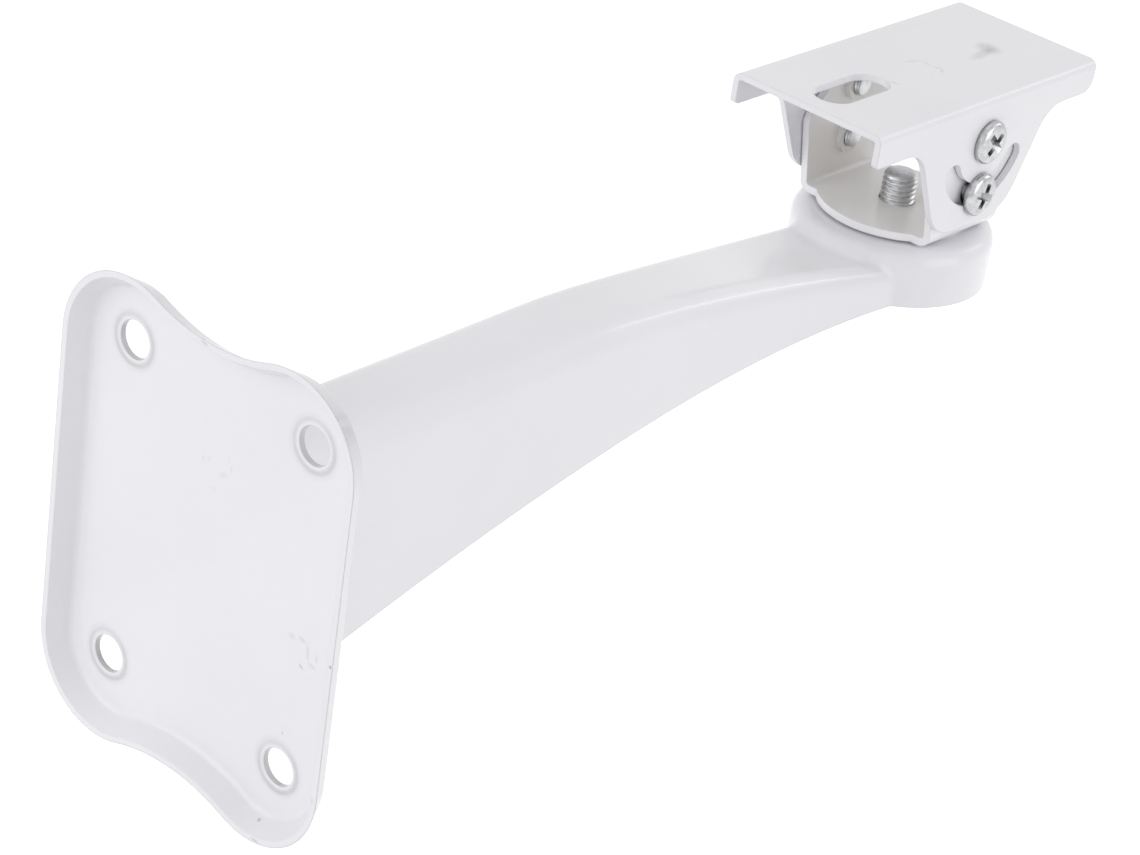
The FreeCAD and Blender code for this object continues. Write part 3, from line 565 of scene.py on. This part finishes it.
# Marks, painted shade and relief in the paint

def marks_in_paint(add, link, place, marks):
    """How much each place is darkened by marks that are a little cloudy."""
    breakup = noise(add, link, place, scale=900, detail=3, roughness=0.7)
    patchy = fade(add, link, breakup, 0, full=0.5, none=0.1)
    total = None
    for middle, reach, turns, dark in marks:
        amount = scaled(add, link, spot(add, link, place, middle, reach, turns), dark)
        total = amount if total is None else combined(add, link, "ADD", total, amount)
    return combined(add, link, "MULTIPLY", total, patchy)


def plate_marks(add, link, place):
    """The marks on the wall side of the plate, and none on its front or round its rim."""
    marks = [((PLATE_BACK, *middle), (MARK_DEPTH, *reach), (turn, 0, 0), dark)
             for middle, reach, turn, dark in PLATE_MARKS]
    back = along(add, link, place, "X", none=(PLATE_BACK + 0.8) * MM, full=(PLATE_BACK + 0.3) * MM)
    flat = fade(add, link, away_from_middle(add, link, place), "Value", full=FLAT_REACH, none=RIM_REACH)
    shown = combined(add, link, "MULTIPLY", back, flat)
    return combined(add, link, "MULTIPLY", marks_in_paint(add, link, place, marks), shown)


def table_marks(add, link, place):
    """The marks on top of the camera plate, and none under it."""
    marks = [((*middle, TABLE_TOP), (*reach, MARK_DEPTH), (0, 0, turn), dark)
             for middle, reach, turn, dark in TABLE_MARKS]
    top = along(add, link, place, "Z", none=(TABLE_TOP - 1) * MM, full=(TABLE_TOP - 0.4) * MM)
    return combined(add, link, "MULTIPLY", marks_in_paint(add, link, place, marks), top)


def punched_holes(add, link, place):
    """The lip that the punch raised round each wall screw hole, the hole's wall, which is painted shade,
    and the painted shade round the lip's foot.
    """
    far = from_line(add, link, place, {"Y": HOLE_ACROSS, "Z": HOLE_UP}, mirrored=True)
    lip = scaled(add, link, fade(add, link, far, "Value", full=LIP_TOP, none=LIP_FOOT), LIP_HEIGHT)
    wall = fade(add, link, far, "Value", full=HOLE_RADIUS + 0.1 * BLUR, none=HOLE_RADIUS + 2 * BLUR)
    outer = fade(add, link, far, "Value", full=LIP_SHADE_MIDDLE, none=LIP_SHADE_END)
    inner = fade(add, link, far, "Value", full=LIP_SHADE_MIDDLE, none=LIP_SHADE_START)
    painted_shade = scaled(add, link, combined(add, link, "MULTIPLY", outer, inner), LIP_SHADE_STRENGTH)
    return lip, wall, painted_shade


# Materials

def shaded_bare_collars(add, link, place, coat):
    """The coat, with bare steel inside the threaded collars, darkened as painted shade."""
    bare = add("ShaderNodeBsdfPrincipled", Base_Color=(*SHADOWED_BORE_STEEL, 1), Metallic=1, Roughness=0.4)
    return mixed_shaders(add, link, coat, bare, collar_bores(add, link, place))


def powder_coat(name, shades, layers=(), marks=None, holes=False, bores=False):
    """Glossy powder coat with a fine orange peel; a layer is a pair of shades and where they show."""
    material = bpy.data.materials.new(name)
    add, link = new_nodes(material)
    place = add("ShaderNodeTexCoord")
    cloud = noise(add, link, place, scale=28, detail=3, roughness=0.55)

    colour = clouded(add, link, cloud, shades)
    for other_shades, where in layers:
        other = clouded(add, link, cloud, other_shades)
        colour = mixed(add, link, colour, other, where(add, link, place))
    # Painted highlight along the sharp edges
    colour = mixed(add, link, colour, EDGE_HIGHLIGHT, sharp_edges(add, link, HIGHLIGHT_EDGE))
    if marks:
        colour = mixed(add, link, colour, MARKS_AND_PAINTED_SHADE, marks(add, link, place))

    form = add("ShaderNodeBevel", samples=6, Radius=PAINTED_EDGE)
    if holes:
        # Painted shade round the foot of each hole's lip and on the hole's wall
        lip, wall, painted_shade = punched_holes(add, link, place)
        colour = mixed(add, link, colour, MARKS_AND_PAINTED_SHADE, painted_shade)
        colour = mixed(add, link, colour, HOLE_WALL_PAINTED_SHADE, wall)
        form = bumped(add, link, form, lip, strength=1, distance=1)
    peel = noise(add, link, place, scale=900, detail=2, roughness=0.5)
    form = bumped(add, link, form, peel, strength=0.06, distance=PEEL_HEIGHT)

    gloss = drifting_gloss(add, link, cloud, lowest=0.34, highest=0.46)
    coat = shader(add, link, colour, gloss, form, Coat_Weight=0.45, Coat_Roughness=0.08)
    if bores:
        coat = shaded_bare_collars(add, link, place, coat)
    out = add("ShaderNodeOutputMaterial")
    link(coat, 0, out, 0)
    return material


def zinc(name, dark, light, shade_reach, lowest_roughness, roughness_drift=0.15):
    """Zinc plate over turned steel, with a cloud in its gloss and painted shade in its hollows."""
    material = bpy.data.materials.new(name)
    add, link = new_nodes(material)
    place = add("ShaderNodeTexCoord")
    cloud = noise(add, link, place, scale=700, detail=4, roughness=0.6)
    shades = [[level * tint for tint in ZINC_TINT] for level in (dark, light)]
    plated = clouded(add, link, cloud, shades, low=0.25, high=0.75)
    open_air = add("ShaderNodeAmbientOcclusion", samples=8, Distance=shade_reach)
    # Painted shade where little open air reaches
    painted_shade = fade(add, link, open_air, "AO", full=0.15, none=0.7)
    colour = mixed(add, link, plated, HOLLOW_SHADE, painted_shade)
    gloss = drifting_gloss(add, link, cloud, lowest_roughness, lowest_roughness + roughness_drift)
    form = add("ShaderNodeBevel", samples=6, Radius=ZINC_EDGE)
    form = bumped(add, link, form, cloud, strength=0.08, distance=ZINC_GRAIN)
    out = add("ShaderNodeOutputMaterial")
    link(shader(add, link, colour, gloss, form, Metallic=1), 0, out, 0)
    return material


def dress(node, material):
    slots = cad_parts[node].data.materials
    slots.clear()
    slots.append(material)


# Solids

def closed_solid(name, rings):
    """A solid through rings of corners, from its foot to its top; a ring may be a single point."""
    shape = bmesh.new()
    rings = [[shape.verts.new(corner) for corner in ring] for ring in rings]
    for lower, upper in zip(rings, rings[1:]):
        steps = max(len(lower), len(upper))
        for step in range(steps):
            after = (step + 1) % steps
            if len(lower) == 1:
                shape.faces.new((lower[0], upper[after], upper[step]))
            elif len(upper) == 1:
                shape.faces.new((lower[step], lower[after], upper[0]))
            else:
                shape.faces.new((lower[step], lower[after], upper[after], upper[step]))
    for end in (list(reversed(rings[0])), rings[-1]):
        if len(end) > 1:
            shape.faces.new(end)
    bmesh.ops.recalc_face_normals(shape, faces=shape.faces)
    mesh = bpy.data.meshes.new(name)
    shape.to_mesh(mesh)
    shape.free()
    return new_object(name, mesh)


def circle(radius, height, steps):
    """Corners round the Z axis, or the point on the axis where the radius is 0."""
    if radius == 0:
        return [(0, 0, height)]
    turns = [2 * math.pi * step / steps for step in range(steps)]
    return [(radius * math.cos(turn), radius * math.sin(turn), height) for turn in turns]


def lathe(name, profile, steps):
    """A closed round solid from (radius, height) pairs that start and end on the axis."""
    return closed_solid(name, [circle(radius, height, steps) for radius, height in profile])


def thread(name, radius, pitch, length, tip, steps=48, rows_per_turn=10):
    """A screw thread that stands on Z = 0, with a rounded tip."""
    depth = pitch * THREAD_DEPTH
    rows = int(length / pitch * rows_per_turn)
    rings = []
    for row in range(rows + 1):
        height = length * row / rows
        inward = max(0, tip - (length - height)) / tip
        limit = radius - tip * (1 - math.sqrt(1 - inward ** 2))
        ring = []
        for step in range(steps):
            turn = 2 * math.pi * step / steps
            phase = (height / pitch - step / steps) % 1
            ridge = 1 - abs(phase * 2 - 1)
            out = min(limit, radius - depth * (1 - min(1, ridge * FLANK_STEEPNESS)))
            ring.append((out * math.cos(turn), out * math.sin(turn), height))
        rings.append(ring)
    return closed_solid(name, rings)


def cut(piece, tool, operation="DIFFERENCE"):
    """Apply a boolean of the tool to the piece, and delete the tool."""
    change = piece.modifiers.new("cut", "BOOLEAN")
    change.operation = operation
    change.solver = "EXACT"
    change.object = tool
    seen = bpy.context.evaluated_depsgraph_get()
    mesh = bpy.data.meshes.new_from_object(piece.evaluated_get(seen))
    piece.modifiers.clear()
    piece.data = mesh
    bpy.data.objects.remove(tool)


def join(name, pieces, materials):
    """One piece from several, each with its own material."""
    shape = bmesh.new()
    for number, piece in enumerate(pieces):
        known = len(shape.faces)
        shape.from_mesh(piece.data)
        shape.faces.ensure_lookup_table()
        for face in shape.faces[known:]:
            face.material_index = number
        bpy.data.objects.remove(piece)
    mesh = bpy.data.meshes.new(name)
    shape.to_mesh(mesh)
    shape.free()
    for material in materials:
        mesh.materials.append(material)
    return new_object(name, mesh)


# Fasteners

def turn_over(piece):
    """Turn a piece that stands on Z = 0 so that it hangs down from there."""
    piece.data.transform(Matrix.Rotation(math.pi, 4, "X"))


def fit(piece, node, place, smooth_angle=35):
    """Put a fastener in its place, where it rides on the swivel instead of the plain node."""
    piece.data.transform(place)
    piece.data.shade_smooth()
    piece.data.set_sharp_from_angle(angle=math.radians(smooth_angle))
    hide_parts(node)
    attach(piece, "swivel")


def pan_head(steps_round=64, steps_over=14):
    """A head with a flat foot, round shoulders and a low dome."""
    profile = [(0, HEAD_GAP), (HEAD_RADIUS * FOOT_REACH, HEAD_GAP)]
    for step in range(steps_over + 1):
        turn = math.pi / 2 * step / steps_over
        radius = HEAD_RADIUS * (SHOULDER_REACH + (1 - SHOULDER_REACH) * math.cos(turn))
        height = HEAD_HEIGHT * (EDGE_HEIGHT + SHOULDER_RISE * math.sin(turn))
        profile.append((radius, height))
    profile.append((HEAD_RADIUS * DOME_REACH, HEAD_HEIGHT * DOME_HEIGHT))
    profile.append((0, HEAD_HEIGHT * CROWN_HEIGHT))
    return lathe("head", profile, steps_round)


def cross_cutter():
    """A cross that narrows towards its foot, for the recess of a screw's head."""
    foot = HEAD_HEIGHT - RECESS_DEPTH
    rings = []
    for height, (reach_share, width_share) in ((foot, RECESS_FOOT_SHARES), (CUTTER_TOP, CUTTER_TOP_SHARES)):
        far = RECESS_HALF * reach_share
        near = RECESS_WIDTH / 2 * width_share
        quarter = [(far, -near), (far, near), (near, near)]
        ring = []
        for turn in range(4):
            spin = Matrix.Rotation(math.pi / 2 * turn, 3, "Z")
            ring += [spin @ Vector((x, y, height)) for x, y in quarter]
        rings.append(ring)
    return closed_solid("cross", rings)


def side_screw(node, materials, spin):
    """A pan-head screw in place of the plain one; its head looks out along Y."""
    lowest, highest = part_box(node)
    side = -1 if lowest.y < 0 else 1
    seat = side * (max(-lowest.y, highest.y) - HEAD_HEIGHT)
    head = pan_head()
    cut(head, cross_cutter())
    shank = thread("shank", SCREW_RADIUS, SCREW_PITCH, SCREW_LENGTH, SCREW_TIP)
    turn_over(shank)
    screw = join(node + "_piece", [head, shank], materials)
    turn = Matrix.Rotation(-math.pi / 2 * side, 4, "X") @ Matrix.Rotation(math.radians(spin), 4, "Z")
    fit(screw, node, Matrix.Translation((PAN_AXIS, seat, centre_of(node).z)) @ turn)


def hexagon_head():
    """A head that hangs down from Z = 0, bevelled where a cone and a hexagon meet."""
    corner = BOLT_FLATS / 2 / math.cos(math.pi / 6)
    flat = BOLT_FLATS / 2 * BOLT_END_SHARE
    bevel = (corner - flat) * math.tan(BEVEL_ANGLE)
    bevelled = [(0, 0), (corner, 0), (corner, BOLT_HEAD - bevel), (flat, BOLT_HEAD), (0, BOLT_HEAD)]
    head = lathe("bolt_head", bevelled, steps=72)
    low, high = -BOLT_HEAD, 2 * BOLT_HEAD
    prism = lathe("prism", [(0, low), (corner, low), (corner, high), (0, high)], steps=6)
    cut(head, prism, "INTERSECT")
    turn_over(head)
    return head


def swivel_bolt(node, materials):
    """A hexagon bolt in place of the plain one, with its thread up."""
    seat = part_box(node)[1].z - BOLT_LENGTH
    shank = thread("bolt_shank", BOLT_RADIUS, BOLT_PITCH, BOLT_LENGTH, BOLT_TIP)
    bolt = join(node + "_piece", [hexagon_head(), shank], materials)
    fit(bolt, node, Matrix.Translation((PAN_AXIS, 0, seat)))


# The scene

bpy.context.scene.view_settings.view_transform = "Standard"
place_camera()
make_world()
make_floor()
make_lights()

# The rim's outside is painted darker as painted shade; the arm's end and the yoke's floor, outer faces and
# base edge are painted lighter as painted light
rim_shade_layer = [(RIM_PAINTED_SHADE, outside_of_rim)]
arm_light_layer = [(ARM_END_PAINTED_LIGHT, top_of_arm_end)]
yoke_light_layers = [(YOKE_FLOOR_PAINTED_LIGHT, upward), (YOKE_OUTER_PAINTED_LIGHT, outside_of_yoke),
               (YOKE_OUTER_PAINTED_LIGHT, edge_of_yoke_base)]
zinc_plate = zinc("zinc_plate", dark=0.38, light=0.62, shade_reach=1.8 * MM, lowest_roughness=0.12)
zinc_thread = zinc("zinc_thread", dark=0.47, light=0.7, shade_reach=0.4 * MM, lowest_roughness=0.28)
dress("wall_plate", powder_coat("white_coat_of_plate", PLATE_SHADES, rim_shade_layer, plate_marks, holes=True))
dress("arm", powder_coat("white_coat_of_arm", ARM_SHADES, arm_light_layer))
dress("yoke", powder_coat("white_coat_of_yoke", YOKE_SHADES, yoke_light_layers, bores=True))
dress("camera_plate", powder_coat("white_coat_of_table", TABLE_SHADES, marks=table_marks))
dress("flat_washer", zinc_plate)
dress("spring_washer", zinc_plate)
for screw_node, spin in SCREW_SPINS.items():
    side_screw(screw_node, [zinc_plate, zinc_thread], spin)
swivel_bolt("swivel_bolt", [zinc_plate, zinc_thread])
